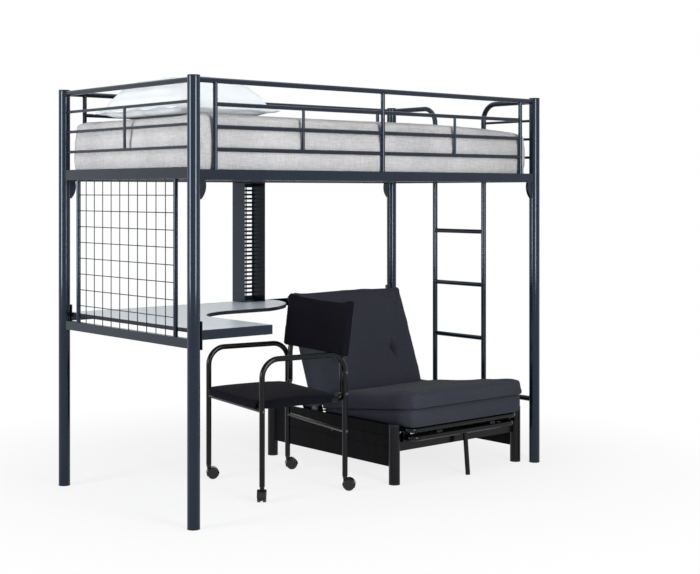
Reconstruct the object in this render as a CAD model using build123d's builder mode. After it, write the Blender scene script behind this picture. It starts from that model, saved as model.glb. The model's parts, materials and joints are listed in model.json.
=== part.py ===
from build123d import *
import os
from math import cos, radians, sin, tan

os.makedirs("parts", exist_ok=True)

# Mattress and the room round it set the size of the loft
mattress_length = 1926.0
mattress_width = 1000.0
mattress_edge = 248.0
mattress_crown = 14.0
mattress_bulge = 5.0
mattress_corner = 14.0
mattress_end_gap = 27.0
mattress_side_gap = 13.0
platform_z = 1356.0
guard_height = 392.0
desk_z = 770.0

# Loft posts
post_spacing_x = mattress_length + 2 * mattress_end_gap
post_spacing_y = mattress_width + 2 * mattress_side_gap
half_length = post_spacing_x / 2
half_width = post_spacing_y / 2
post_d = 50.8
post_wall = 1.6
cap_lip = 6.0
cap_edge = 2.5
foot_lip = 6.0
plug_length = 24.0
plug_clearance = 0.2
weld_gap = 0.1

# Platform rails
platform_rail_h = 42.0
end_rail_t = 22.0
head_rail_h = 46.0
head_rail_rise = 5.0
head_rail_z = platform_z + head_rail_rise
rail_wall = 1.6
angle_t = 3.0
angle_ledge = 34.0
gusset_w = 26.0
gusset_h = 76.0
gusset_t = 14.0
gusset_toe = 5.0
gusset_swell = 9.0

# Guard rails
post_rise = 11.0
top_rail_z = platform_z + guard_height
post_top = top_rail_z + post_rise
guard_rise = 121.0
guard_top_gap = 93.0
head_guard_rise = 9.0
guard_count = 3
guard_low_z = platform_z + guard_rise
guard_step = (top_rail_z - guard_top_gap - guard_low_z) / (guard_count - 1)
guard_d = 12.7
side_guard_d = 17.0
guard_wall = 1.2
guard_post_d = 19.0
guard_post_inset = 102.0
guard_post_x = half_length - guard_post_inset
guard_brace_x = guard_post_x / 2
side_top_d = 22.2
head_top_d = 22.2
rail_tube_wall = 1.5

# Wire panel at the head end
low_rail_h = 38.0
low_rail_drop = 52.0
low_rail_z = desk_z - low_rail_drop
low_rail_top = low_rail_z + low_rail_h / 2
panel_inset = 127.0
panel_tube_y = half_width - panel_inset
wire_d = 4.0
upright_wires = 10
cross_wires = 8
wire_foot_gap = 74.0
wire_head_gap = 59.9
cross_low_z = low_rail_top + wire_foot_gap
wire_pitch_y = 2 * panel_tube_y / (upright_wires + 1)
wire_pitch_z = (platform_z - wire_head_gap - cross_low_z) / (cross_wires - 1)

# Ladder at the foot end
ladder_half = 174.5
ladder_d = 25.4
ladder_low_z = 304.0
ladder_bend = 80.0
rung_count = 3
rung_step = (platform_z + platform_rail_h / 2 - ladder_low_z) / (rung_count + 1)
rung_d = 22.2

# Slats and bedding
slat_count = 12
slat_end_gap = 165.0
slat_pitch = (post_spacing_x - 2 * slat_end_gap) / (slat_count - 1)
slat_w = 68.0
slat_t = 12.0
soft_gap = 0.3
corner_ease = 1.0
slat_z = platform_z + angle_t
mattress_z = slat_z + slat_t + soft_gap
pillow_depth = 525.0
pillow_width = 680.0
pillow_edge = 36.0
pillow_crown = 132.0
pillow_bulge = 10.0
pillow_corner = 60.0
pillow_head_gap = 20.0
pillow_y = 10.0
pillow_x = pillow_head_gap + pillow_depth / 2 - mattress_length / 2
pillow_inner_share = 2 * (pillow_x + pillow_depth / 2) / mattress_length
mattress_lift = mattress_edge + mattress_crown * (1 - pillow_inner_share * pillow_inner_share)
pillow_z = mattress_z + mattress_lift + soft_gap

# Corner desk
board_t = 16.0
band_t = 3.0
board_end_gap = 35.0
wing_width = 339.0
back_wing_depth = 395.0
inner_bend = 250.0
end_start_x = -145.0
end_mid_x = 57.0
end_mid_inset = 261.0
end_x = 150.0
end_inset = 73.0
board_left_x = board_end_gap - half_length
wing_x = board_left_x + wing_width
back_wing_y = half_width - back_wing_depth
end_mid_y = half_width - end_mid_inset
end_y = half_width - end_inset
desk_rail_h = 38.0
desk_rail_t = 3.0
desk_rail_face = 10.0
desk_flange = 29.0
front_rail_end_x = wing_x + band_t
plate_t = 4.0
plate_w = 36.0
plate_h = 112.0
plate_bolt_pitch = 84.0
bolt_d = 8.0
bolt_hole_d = 8.6
bolt_head_d = 14.0
bolt_head_h = 5.5
bolt_reach = 30.0
cross_rail_size = 20.0
cross_rail_inset = 27.0
cross_rail_x = wing_x - cross_rail_inset

# Disc tower on the desk
tower_x = 7.0
tower_w = 125.0
tower_depth = 101.0
tower_overhang = 20.0
tower_back_y = half_width + tower_overhang
tower_front_y = tower_back_y - tower_depth
tower_sheet = 2.0
slot_rows = 27
slot_end_gap = 27.0
slot_columns = 3
slot_column_pitch = 39.0
slot_w = 33.0
slot_h = 10.5
tick_w = 8.0
tick_h = 4.0
tick_inset = 12.0
tick_depth = 1.0

# Rolling chair
chair_x = -264.0
chair_y = -88.0
chair_turn = -9.3
arm_half_depth = 205.0
arm_half_width = 262.0
arm_z = 598.0
arm_bend = 78.0
chair_tube_d = 24.0
chair_tube_wall = 1.5
leg_end_z = 62.0
frame_gap = 1.0
back_tube_y = arm_half_width - chair_tube_d - frame_gap
back_tube_z = 400.0
back_tube_reach = 8.0
back_tube_front_x = -arm_half_depth - back_tube_reach
back_tube_bend = 30.0
lean_start_z = 560.0
back_lean = 7.4
back_tube_top_z = 806.0
seat_side_gap = 1.0
seat_board_t = 10.0
seat_board_gap = 0.3
seat_board_front = 7.0
seat_board_back = 47.0
seat_board_corner = 12.0
seat_pad_front = 21.0
seat_pad_back = 27.0
seat_pocket_gap = 2.0
seat_pad_half_w = arm_half_width - seat_side_gap
seat_board_half_w = back_tube_y - chair_tube_d / 2 - seat_board_gap
seat_board_front_x = -arm_half_depth - seat_board_front
seat_board_back_x = arm_half_depth - seat_board_back
seat_pad_front_x = -arm_half_depth - seat_pad_front
seat_pad_back_x = arm_half_depth - seat_pad_back
seat_pad_edge = 34.0
seat_pad_crown = 18.0
seat_pad_bulge = 6.0
seat_pad_corner = 70.0
rest_low_z = 587.0
rest_height = 248.0
rest_ear_w = 93.0
rest_ear_drop = 16.0
rest_ear_sag = 3.0
rest_sag = 3.0
rest_overhang = 11.0
rest_half_w = arm_half_width + rest_overhang
rest_curve = 1230.0
rest_wrap = 4.0
rest_t = chair_tube_d + 2 * rest_wrap
rest_corner = 14.0
rear_bar_z = 260.0
cross_bar_d = 16.0
front_bar_z = back_tube_z - (chair_tube_d + cross_bar_d) / 2 - weld_gap
chair_bolt_high_z = 518.0
chair_bolt_low_z = 424.0
chair_bolt_d = 6.0
chair_bolt_hole_d = 6.6
chair_head_d = 12.0
chair_head_h = 4.0
chair_bolt_inner_y = back_tube_y - chair_tube_d / 2 - frame_gap

# Casters
wheel_d = 50.0
wheel_w = 14.0
wheel_edge = 3.0
caster_trail = 18.0
hood_plate_t = 9.0
hood_gap = 0.6
hood_inner_r = 26.5
hood_outer_r = 29.0
hood_half_w = 19.5
axle_d = 6.0
stem_d = 10.0
stem_top_z = 96.0
boss_d = 20.0
boss_low_z = 52.0
boss_top_z = 61.5
running_clearance = 0.05
socket_h = 40.0
caster_turns = (-121.4, -20.0, -35.0, -20.0)

# Fold-out seat frame
futon_x = 536.0
futon_leg_x = 399.0
futon_leg_front_y = -438.0
futon_leg_back_y = 457.0
futon_leg_top = 268.0
side_panel_t = 12.0
side_panel_low = 76.0
side_panel_top = 261.0
groove_w = 3.0
groove_depth = 2.0
groove_low_z = 163.0
groove_high_z = 213.0
panel_screw_y = -13.0
panel_screw_d = 10.0
panel_screw_h = 2.5
panel_inner_x = futon_leg_x - side_panel_t / 2 - weld_gap
front_rail_low = 147.0
front_rail_h = 40.0
cross_rail_t = 20.0
mid_rail_set = 100.0
mid_rail_y = futon_leg_front_y + mid_rail_set
back_rail_low = 108.0

# Fold-out seat decks
deck_d = 25.4
deck_wall = 1.6
deck_bend = 40.0
deck_overhang = 53.0
deck_run = 593.0
deck_front_y = futon_leg_front_y - deck_overhang
deck_rear_y = deck_front_y + deck_run
seat_deck_z = 240.0
seat_deck_inset = 52.0
seat_deck_x = futon_leg_x - seat_deck_inset
pullout_z = 202.0
pullout_inset = 67.0
pullout_x = futon_leg_x - pullout_inset
deck_slat_w = 30.0
deck_slat_t = 4.0
deck_slat_count = 5
deck_slat_pitch = 105.0
stop_x = 175.0
stop_w = 34.0
stop_depth = 14.0
bracket_w = 40.0
bracket_t = 8.0
bracket_front_set = 58.0
bracket_rear_set = 62.0
bracket_front_y = futon_leg_front_y + bracket_front_set
bracket_rear_y = deck_rear_y - bracket_rear_set
guide_w = 44.0
slide_clearance = 0.3
prop_d = 22.0
prop_foot_set = 16.0
prop_top_set = 3.0
prop_foot_y = deck_front_y - prop_foot_set
prop_top_y = deck_front_y + prop_top_set

# Reclining back and pads
pin_d = 12.0
pin_flange_d = 42.0
pin_flange_t = 3.0
hinge_set = 35.0
hinge_y = deck_rear_y + hinge_set
hinge_z = 262.0
hinge_plate_inset = 26.7
hinge_plate_x = panel_inner_x - hinge_plate_inset
hinge_plate_t = 5.0
hinge_plate_r = 34.0
pin_overlap = 2.2
pin_inner_x = hinge_plate_x - pin_overlap
back_angle = 69.3
back_frame_set = 74.1
back_frame_inset = 99.0
back_frame_x = futon_leg_x - back_frame_inset
back_frame_low = 45.0
back_frame_top = 560.0
back_slat_count = 4
back_slat_pitch = 110.0
back_pad_low = 25.0
back_pad_top = 592.0
back_pad_edge = 70.0
back_pad_crown = 13.0
pad_side_gap = 12.6
pad_width = 2 * (futon_leg_x - post_d / 2 - pad_side_gap)
pad_bulge = 7.0
pad_corner = 30.0
tuft_x = 198.0
tuft_up = 248.0
tuft_r = 58.0
tuft_depth = 20.0
pad_overhang = 37.6
pad_front_y = deck_front_y - pad_overhang
fold_z = 341.0
seat_tilt = 6.9
fold_pad_length = 643.0
fold_pad_edge = 75.0
fold_pad_crown = 11.0
seat_pad_rear_set = 14.0
seat_pad_rear_y = deck_rear_y + seat_pad_rear_set
seat_pad_low_gap = 0.4

guard_heights = [guard_low_z + step * guard_step for step in range(guard_count)]
head_guard_heights = [z + head_guard_rise for z in guard_heights]
platform_top = platform_z + platform_rail_h
rail_inner_face = guard_post_d / 2 + weld_gap
corners = [(sx * half_length, sy * half_width) for sx in (-1, 1) for sy in (-1, 1)]


# Shared shapes
def save(builder, name):
    builder.part.label = name
    export_step(builder.part, "parts/" + name + ".step")


def rod(start, end, diameter, mode=Mode.ADD):
    run = Vector(*end) - Vector(*start)
    with BuildSketch(Plane(origin=start, z_dir=run)) as section:
        Circle(diameter / 2)
    extrude(section.sketch, amount=run.length, mode=mode)


def tube(start, end, diameter, wall):
    run = Vector(*end) - Vector(*start)
    with BuildSketch(Plane(origin=start, z_dir=run)) as section:
        Circle(diameter / 2)
        Circle(diameter / 2 - wall, mode=Mode.SUBTRACT)
    extrude(section.sketch, amount=run.length)


def bent_tube(plane, points, bend, diameter, wall):
    with BuildLine(plane) as run:
        FilletPolyline(*points, radius=bend)
    with BuildSketch(Plane(origin=run.line @ 0, z_dir=run.line % 0)) as section:
        Circle(diameter / 2)
        Circle(diameter / 2 - wall, mode=Mode.SUBTRACT)
    sweep(section.sketch, path=run.line)


def bar(x_size, y_size, x, y, low, high, mode=Mode.ADD):
    with BuildSketch(Plane.XY.offset(low)) as section:
        with Locations((x, y)):
            Rectangle(x_size, y_size)
    extrude(section.sketch, amount=high - low, mode=mode)


def box_rail_y(x, y_low, y_high, z_low, z_high, depth, wall):
    height = z_high - z_low
    level = Plane(origin=(x, y_low, z_low + height / 2), x_dir=(1, 0, 0), z_dir=(0, 1, 0))
    with BuildSketch(level) as section:
        Rectangle(depth, height)
        Rectangle(depth - 2 * wall, height - 2 * wall, mode=Mode.SUBTRACT)
    extrude(section.sketch, amount=y_high - y_low)


def box_rail_x(y, x_low, x_high, z_low, z_high, depth, wall):
    height = z_high - z_low
    level = Plane(origin=(x_low, y, z_low + height / 2), x_dir=(0, 1, 0), z_dir=(1, 0, 0))
    with BuildSketch(level) as section:
        Rectangle(depth, height)
        Rectangle(depth - 2 * wall, height - 2 * wall, mode=Mode.SUBTRACT)
    extrude(section.sketch, amount=x_high - x_low)


def cut_posts():
    for x, y in corners:
        rod((x, y, 0), (x, y, post_top + cap_lip), post_d + 2 * weld_gap, mode=Mode.SUBTRACT)


def cushion(base, length, width, edge, crown, bulge, corner):
    reach = length + width
    along = Plane(origin=base.origin, x_dir=base.x_dir, z_dir=-base.y_dir)
    across = Plane(origin=base.origin, x_dir=base.y_dir, z_dir=base.x_dir)
    with BuildSketch(base) as plan:
        RectangleRounded(length + 2 * corner_ease, width + 2 * corner_ease, corner)
    extrude(plan.sketch, amount=edge + crown + corner_ease)
    for side, size in ((along, length), (across, width)):
        half = size / 2 - bulge
        with BuildSketch(side) as profile:
            with BuildLine():
                Line((-half, 0), (half, 0))
                ThreePointArc((half, 0), (half + bulge, edge / 2), (half, edge))
                ThreePointArc((half, edge), (0, edge + crown), (-half, edge))
                ThreePointArc((-half, edge), (-half - bulge, edge / 2), (-half, 0))
            make_face()
        extrude(profile.sketch, amount=reach, both=True, mode=Mode.INTERSECT)


# Four round posts, drilled where the desk rails bolt on
desk_rail_top = desk_z - weld_gap
plate_z = desk_z - board_t - plate_t
plate_bolts = [plate_z - plate_bolt_pitch / 2, plate_z + plate_bolt_pitch / 2]


def post(x, y, inward, drilled):
    tube((x, y, foot_lip), (x, y, post_top), post_d, post_wall)
    if drilled:
        for z in plate_bolts:
            rod((x, y, z), (x + inward * post_d, y, z), bolt_hole_d, mode=Mode.SUBTRACT)


with BuildPart() as post_front_left:
    post(-half_length, -half_width, 1, True)
save(post_front_left, "post_front_left")

with BuildPart() as post_front_right:
    post(half_length, -half_width, -1, False)
save(post_front_right, "post_front_right")

with BuildPart() as post_back_left:
    post(-half_length, half_width, 1, True)
save(post_back_left, "post_back_left")

with BuildPart() as post_back_right:
    post(half_length, half_width, -1, True)
save(post_back_right, "post_back_right")

# Round caps on the post tops and glides under the posts
plug_d = post_d - 2 * post_wall - 2 * plug_clearance

with BuildPart() as post_caps:
    for x, y in corners:
        rod((x, y, post_top), (x, y, post_top + cap_lip), post_d)
    fillet(post_caps.edges().group_by(Axis.Z)[-1], cap_edge)
    for x, y in corners:
        rod((x, y, post_top - plug_length), (x, y, post_top), plug_d)
save(post_caps, "post_caps")

with BuildPart() as post_feet:
    for x, y in corners:
        rod((x, y, 0), (x, y, foot_lip), post_d)
        rod((x, y, foot_lip), (x, y, foot_lip + plug_length), plug_d)
save(post_feet, "post_feet")

# Head end guard: top rail, three thin rails and a short upright
with BuildPart() as head_guard:
    start, end = (-half_length, 0, head_guard_heights[0]), (-half_length, 0, head_guard_heights[-1])
    tube(start, end, guard_d, guard_wall)
    for z in head_guard_heights:
        start, end = (-half_length, -guard_d, z), (-half_length, guard_d, z)
        rod(start, end, guard_d + 2 * weld_gap, mode=Mode.SUBTRACT)
    for z in head_guard_heights:
        tube((-half_length, -half_width, z), (-half_length, half_width, z), guard_d, guard_wall)
    tube(
        (-half_length, -half_width, top_rail_z),
        (-half_length, half_width, top_rail_z),
        head_top_d,
        rail_tube_wall,
    )
    cut_posts()
save(head_guard, "head_guard")


# Long side guards: top rail, three full uprights, thin rails in two bays, short uprights
def side_guard(y):
    upright_xs = (-guard_post_x, 0, guard_post_x)
    for x in (-guard_brace_x, guard_brace_x):
        tube((x, y, guard_heights[0]), (x, y, guard_heights[-1]), guard_d, guard_wall)
    for z in guard_heights:
        rod((-guard_post_x, y, z), (guard_post_x, y, z), side_guard_d + 2 * weld_gap, mode=Mode.SUBTRACT)
    for z in guard_heights:
        tube((-guard_post_x, y, z), (guard_post_x, y, z), side_guard_d, guard_wall)
    for x in upright_xs:
        rod((x, y, slat_z), (x, y, top_rail_z), guard_post_d + 2 * weld_gap, mode=Mode.SUBTRACT)
    for x in upright_xs:
        tube((x, y, slat_z + weld_gap), (x, y, top_rail_z), guard_post_d, rail_tube_wall)
    start, end = (-half_length, y, top_rail_z), (half_length, y, top_rail_z)
    rod(start, end, side_top_d + 2 * weld_gap, mode=Mode.SUBTRACT)
    tube(start, end, side_top_d, rail_tube_wall)
    cut_posts()


with BuildPart() as front_guard:
    side_guard(-half_width)
save(front_guard, "front_guard")

with BuildPart() as back_guard:
    side_guard(half_width)
save(back_guard, "back_guard")

# Ladder rails rise from the low foot rail and bend over to the posts
foot_plane = Plane(origin=(half_length, 0, 0), x_dir=(0, 1, 0), z_dir=(1, 0, 0))

with BuildPart() as ladder_rails:
    for side in (-1, 1):
        bent_tube(
            foot_plane,
            (
                (side * ladder_half, ladder_low_z),
                (side * ladder_half, top_rail_z),
                (side * half_width, top_rail_z),
            ),
            ladder_bend,
            ladder_d,
            rail_tube_wall,
        )
    rod(
        (half_length, -half_width, ladder_low_z),
        (half_length, half_width, ladder_low_z),
        ladder_d + 2 * weld_gap,
        mode=Mode.SUBTRACT,
    )
    cut_posts()
save(ladder_rails, "ladder_rails")


def cut_ladder():
    for side in (-1, 1):
        y = side * ladder_half
        rod(
            (half_length, y, ladder_low_z + ladder_d),
            (half_length, y, top_rail_z - ladder_bend),
            ladder_d + 2 * weld_gap,
            mode=Mode.SUBTRACT,
        )


with BuildPart() as ladder_rungs:
    for step in range(1, rung_count + 1):
        z = ladder_low_z + step * rung_step
        tube((half_length, -ladder_half, z), (half_length, ladder_half, z), rung_d, rail_tube_wall)
    cut_ladder()
save(ladder_rungs, "ladder_rungs")

with BuildPart() as foot_guard:
    for z in guard_heights:
        for side in (-1, 1):
            start, end = (half_length, side * ladder_half, z), (half_length, side * half_width, z)
            tube(start, end, guard_d, guard_wall)
    cut_ladder()
    cut_posts()
save(foot_guard, "foot_guard")

# Platform rails across both ends; the foot one is let in between the ladder rails
with BuildPart() as end_rails:
    for x, low, high in (
        (-half_length, head_rail_z, head_rail_z + head_rail_h),
        (half_length, platform_z, platform_top),
    ):
        box_rail_y(x, -half_width, half_width, low, high, end_rail_t, rail_wall)
    cut_ladder()
    cut_posts()
save(end_rails, "end_rails")

# Low rails across both ends: a box rail at desk height, a round one under the ladder
with BuildPart() as low_end_rails:
    box_rail_y(
        -half_length,
        -half_width,
        half_width,
        low_rail_z - low_rail_h / 2,
        low_rail_top,
        end_rail_t,
        rail_wall,
    )
    tube(
        (half_length, -half_width, ladder_low_z),
        (half_length, half_width, ladder_low_z),
        ladder_d,
        rail_tube_wall,
    )
    cut_posts()
save(low_end_rails, "low_end_rails")

# Wire panel: two side tubes, upright wires and cross wires lying against them
with BuildPart() as mesh_panel:
    for step in range(cross_wires):
        z = cross_low_z + step * wire_pitch_z
        x = -half_length + wire_d / 2 + weld_gap
        rod((x, -panel_tube_y, z), (x, panel_tube_y, z), wire_d)
    for y in (-panel_tube_y, panel_tube_y):
        rod(
            (-half_length, y, low_rail_top),
            (-half_length, y, head_rail_z),
            guard_post_d + 2 * weld_gap,
            mode=Mode.SUBTRACT,
        )
    for y in (-panel_tube_y, panel_tube_y):
        tube(
            (-half_length, y, low_rail_top + weld_gap),
            (-half_length, y, head_rail_z - weld_gap),
            guard_post_d,
            rail_tube_wall,
        )
    for step in range(upright_wires):
        y = (step - (upright_wires - 1) / 2) * wire_pitch_y
        x = -half_length - wire_d / 2
        rod((x, y, low_rail_top + weld_gap), (x, y, head_rail_z - weld_gap), wire_d)
save(mesh_panel, "mesh_panel")


# Long side rails: steel angles with the ledge turned in under the slats
def side_rail(side):
    outer = side * (half_width + rail_inner_face + angle_t)
    inner = outer - side * angle_ledge
    bar(post_spacing_x, angle_t, 0, outer - side * angle_t / 2, platform_z, platform_top)
    bar(post_spacing_x, angle_ledge, 0, (outer + inner) / 2, platform_z, slat_z)
    cut_posts()


with BuildPart() as side_rail_front:
    side_rail(-1)
save(side_rail_front, "side_rail_front")

with BuildPart() as side_rail_back:
    side_rail(1)
save(side_rail_back, "side_rail_back")

# Curved gussets under the side rails
with BuildPart() as corner_gussets:
    for sy in (-1, 1):
        gusset_plane = Plane(
            origin=(0, sy * half_width + gusset_t / 2, 0), x_dir=(1, 0, 0), z_dir=(0, -1, 0)
        )
        for sx in (-1, 1):
            root = sx * (half_length - post_d / 4)
            toe = sx * (half_length - post_d / 2 - gusset_toe)
            tip = sx * (half_length - post_d / 2 - gusset_w)
            top = platform_z - weld_gap
            low = platform_z - gusset_h
            with BuildSketch(gusset_plane) as gusset_face:
                with BuildLine():
                    Line((root, top), (tip, top))
                    ThreePointArc(
                        (tip, top),
                        ((tip + toe) / 2 - sx * gusset_swell, (top + low) / 2 - gusset_swell),
                        (toe, low),
                    )
                    Line((toe, low), (root, low))
                    Line((root, low), (root, top))
                make_face()
            extrude(gusset_face.sketch, amount=gusset_t)
    cut_posts()
save(corner_gussets, "corner_gussets")

# Slats across the platform
with BuildPart() as slats:
    for step in range(slat_count):
        x = (step - (slat_count - 1) / 2) * slat_pitch
        bar(
            slat_w,
            2 * (half_width + rail_inner_face - weld_gap),
            x,
            0,
            slat_z + weld_gap,
            slat_z + slat_t,
        )
save(slats, "slats")

# Mattress and pillow
with BuildPart() as mattress:
    cushion(
        Plane.XY.offset(mattress_z),
        mattress_length,
        mattress_width,
        mattress_edge,
        mattress_crown,
        mattress_bulge,
        mattress_corner,
    )
save(mattress, "mattress")

with BuildPart() as pillow:
    cushion(
        Plane(origin=(pillow_x, pillow_y, pillow_z)),
        pillow_depth,
        pillow_width,
        pillow_edge,
        pillow_crown,
        pillow_bulge,
        pillow_corner,
    )
save(pillow, "pillow")

# Corner desk board with a dark edge band
board_edge = half_width + desk_rail_face - desk_rail_t - weld_gap - band_t
board_under = desk_z - board_t


def desk_outline():
    Line((board_left_x, -board_edge), (wing_x, -board_edge))
    Line((wing_x, -board_edge), (wing_x, back_wing_y - inner_bend))
    RadiusArc((wing_x, back_wing_y - inner_bend), (wing_x + inner_bend, back_wing_y), inner_bend)
    Line((wing_x + inner_bend, back_wing_y), (end_start_x, back_wing_y))
    ThreePointArc((end_start_x, back_wing_y), (end_mid_x, end_mid_y), (end_x, end_y))
    Line((end_x, end_y), (end_x, board_edge))
    Line((end_x, board_edge), (board_left_x, board_edge))
    Line((board_left_x, board_edge), (board_left_x, -board_edge))


with BuildPart() as desk_top:
    with BuildSketch(Plane.XY.offset(board_under)):
        with BuildLine():
            desk_outline()
        make_face()
    extrude(amount=board_t)
save(desk_top, "desk_top")

with BuildPart() as desk_edge_band:
    with BuildSketch(Plane.XY.offset(board_under)):
        with BuildLine():
            desk_outline()
        make_face()
        offset(amount=band_t)
        with BuildLine():
            desk_outline()
        make_face(mode=Mode.SUBTRACT)
    extrude(amount=board_t)
save(desk_edge_band, "desk_edge_band")


# Desk rails: an upright face with a ledge under the board and a bolted plate at each post
def desk_rail(side, x_low, x_high, plate_sides):
    face = side * (half_width + desk_rail_face)
    ledge_outer = face - side * desk_rail_t
    middle = (x_low + x_high) / 2
    length = x_high - x_low
    low = desk_rail_top - desk_rail_h
    bar(length, desk_rail_t, middle, face - side * desk_rail_t / 2, low, desk_rail_top)
    bar(
        length,
        desk_flange,
        middle,
        ledge_outer - side * desk_flange / 2,
        board_under - weld_gap - desk_rail_t,
        board_under - weld_gap,
    )
    for end in plate_sides:
        x = end * (half_length - post_d / 2 - weld_gap - plate_t / 2)
        y = side * half_width
        bar(plate_t, plate_w, x, y, plate_z - plate_h / 2, plate_z + plate_h / 2)
        for z in plate_bolts:
            rod((x - plate_t, y, z), (x + plate_t, y, z), bolt_hole_d, mode=Mode.SUBTRACT)


rail_end_x = half_length - post_d / 2 - weld_gap - plate_t / 2

with BuildPart() as desk_front_rail:
    desk_rail(-1, -rail_end_x, front_rail_end_x, (-1,))
save(desk_front_rail, "desk_front_rail")

with BuildPart() as back_stretcher:
    desk_rail(1, -rail_end_x, rail_end_x, (-1, 1))
save(back_stretcher, "back_stretcher")

with BuildPart() as desk_cross_rail:
    cross_reach = half_width + desk_rail_face - desk_rail_t - weld_gap
    cross_top = board_under - desk_rail_t - 2 * weld_gap
    box_rail_y(
        cross_rail_x,
        -cross_reach,
        cross_reach,
        cross_top - cross_rail_size,
        cross_top,
        cross_rail_size,
        rail_wall,
    )
save(desk_cross_rail, "desk_cross_rail")

with BuildPart() as desk_bolts:
    for end, side in ((-1, -1), (-1, 1), (1, 1)):
        face_x = end * (half_length - post_d / 2 - weld_gap - plate_t - weld_gap)
        y = side * half_width
        for z in plate_bolts:
            rod((face_x - end * bolt_head_h, y, z), (face_x, y, z), bolt_head_d)
            rod((face_x, y, z), (face_x + end * bolt_reach, y, z), bolt_d)
save(desk_bolts, "desk_bolts")

# Disc tower: two side sheets, a slotted back sheet and two end plates
tower_low = desk_z + weld_gap
tower_high = platform_z - weld_gap
tower_mid_y = (tower_back_y + tower_front_y) / 2
sheet_low = tower_low + tower_sheet + weld_gap
sheet_high = tower_high - tower_sheet - weld_gap
slot_mid_z = (sheet_low + sheet_high) / 2
slot_pitch = (sheet_high - sheet_low - 2 * slot_end_gap) / (slot_rows - 1)

with BuildPart() as tower_plates:
    bar(tower_w, tower_depth, tower_x, tower_mid_y, tower_low, tower_low + tower_sheet)
    bar(tower_w, tower_depth, tower_x, tower_mid_y, tower_high - tower_sheet, tower_high)
save(tower_plates, "tower_plates")

with BuildPart() as tower_sides:
    for side in (-1, 1):
        x = tower_x + side * (tower_w - tower_sheet) / 2
        bar(tower_sheet, tower_depth, x, tower_mid_y, sheet_low, sheet_high)
    tick_y = tower_front_y + tick_inset
    for side in (-1, 1):
        inner_x = tower_x + side * (tower_w / 2 - tower_sheet)
        tick_plane = Plane(origin=(inner_x, tick_y, slot_mid_z), x_dir=(0, 1, 0), z_dir=(1, 0, 0))
        with BuildSketch(tick_plane) as ticks:
            with GridLocations(0, slot_pitch, 1, slot_rows):
                Rectangle(tick_w, tick_h)
        extrude(ticks.sketch, amount=side * tick_depth, mode=Mode.SUBTRACT)
save(tower_sides, "tower_sides")

with BuildPart() as tower_back:
    back_sheet_w = tower_w - 2 * tower_sheet - 2 * weld_gap
    bar(back_sheet_w, tower_sheet, tower_x, tower_back_y - tower_sheet / 2, sheet_low, sheet_high)
    with BuildSketch(Plane(origin=(tower_x, tower_back_y, slot_mid_z), x_dir=(1, 0, 0), z_dir=(0, -1, 0))):
        with GridLocations(slot_column_pitch, slot_pitch, slot_columns, slot_rows):
            Rectangle(slot_w, slot_h)
    extrude(amount=tower_depth, mode=Mode.SUBTRACT)
save(tower_back, "tower_back")

# Rolling chair, turned a little under the loft
turn = radians(chair_turn)
chair_floor = Plane(origin=(chair_x, chair_y, 0), x_dir=(cos(turn), sin(turn), 0), z_dir=(0, 0, 1))
lean = radians(back_lean)
lean_x = arm_half_depth


def chair_at(x, y, z):
    return tuple(chair_floor.from_local_coords(Vector(x, y, z)))


def chair_level(x, z):
    return Plane(origin=chair_at(x, 0, z), x_dir=chair_floor.x_dir, z_dir=(0, 0, 1))


def chair_upright(y):
    return Plane(origin=chair_at(0, y, 0), x_dir=chair_floor.x_dir, z_dir=-chair_floor.y_dir)


chair_bolt_points = [(arm_half_depth, z) for z in (chair_bolt_high_z, chair_bolt_low_z, rear_bar_z)]
chair_bolt_points.append((-arm_half_depth, front_bar_z))


def drill_chair(side):
    for x, z in chair_bolt_points:
        rod(
            chair_at(x, side * chair_bolt_inner_y, z),
            chair_at(x, side * (arm_half_width + chair_tube_d), z),
            chair_bolt_hole_d,
            mode=Mode.SUBTRACT,
        )


def side_frame(side):
    bent_tube(
        chair_upright(side * arm_half_width),
        (
            (-arm_half_depth, leg_end_z),
            (-arm_half_depth, arm_z),
            (arm_half_depth, arm_z),
            (arm_half_depth, leg_end_z),
        ),
        arm_bend,
        chair_tube_d,
        chair_tube_wall,
    )
    drill_chair(side)


with BuildPart() as chair_frame_near:
    side_frame(-1)
save(chair_frame_near, "chair_frame_near")

with BuildPart() as chair_frame_far:
    side_frame(1)
save(chair_frame_far, "chair_frame_far")

with BuildPart() as chair_back_tubes:
    lean_top_x = lean_x + (back_tube_top_z - lean_start_z) * tan(lean)
    for side in (-1, 1):
        bent_tube(
            chair_upright(side * back_tube_y),
            (
                (back_tube_front_x, back_tube_z),
                (lean_x, back_tube_z),
                (lean_x, lean_start_z),
                (lean_top_x, back_tube_top_z),
            ),
            back_tube_bend,
            chair_tube_d,
            chair_tube_wall,
        )
        drill_chair(side)
save(chair_back_tubes, "chair_back_tubes")

with BuildPart() as chair_cross_bars:
    for x, z in ((arm_half_depth, rear_bar_z), (-arm_half_depth, front_bar_z)):
        start, end = chair_at(x, -arm_half_width, z), chair_at(x, arm_half_width, z)
        tube(start, end, cross_bar_d, chair_tube_wall)
        for side in (-1, 1):
            rod(
                chair_at(x, side * arm_half_width, leg_end_z),
                chair_at(x, side * arm_half_width, arm_z),
                chair_tube_d + 2 * weld_gap,
                mode=Mode.SUBTRACT,
            )
save(chair_cross_bars, "chair_cross_bars")

with BuildPart() as chair_bolts:
    for side in (-1, 1):
        for x, z in chair_bolt_points:
            face_y = arm_half_width + chair_tube_d / 2 + weld_gap
            rod(
                chair_at(x, side * chair_bolt_inner_y, z),
                chair_at(x, side * face_y, z),
                chair_bolt_d,
            )
            rod(
                chair_at(x, side * face_y, z),
                chair_at(x, side * (face_y + chair_head_h), z),
                chair_head_d,
            )
save(chair_bolts, "chair_bolts")

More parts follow.
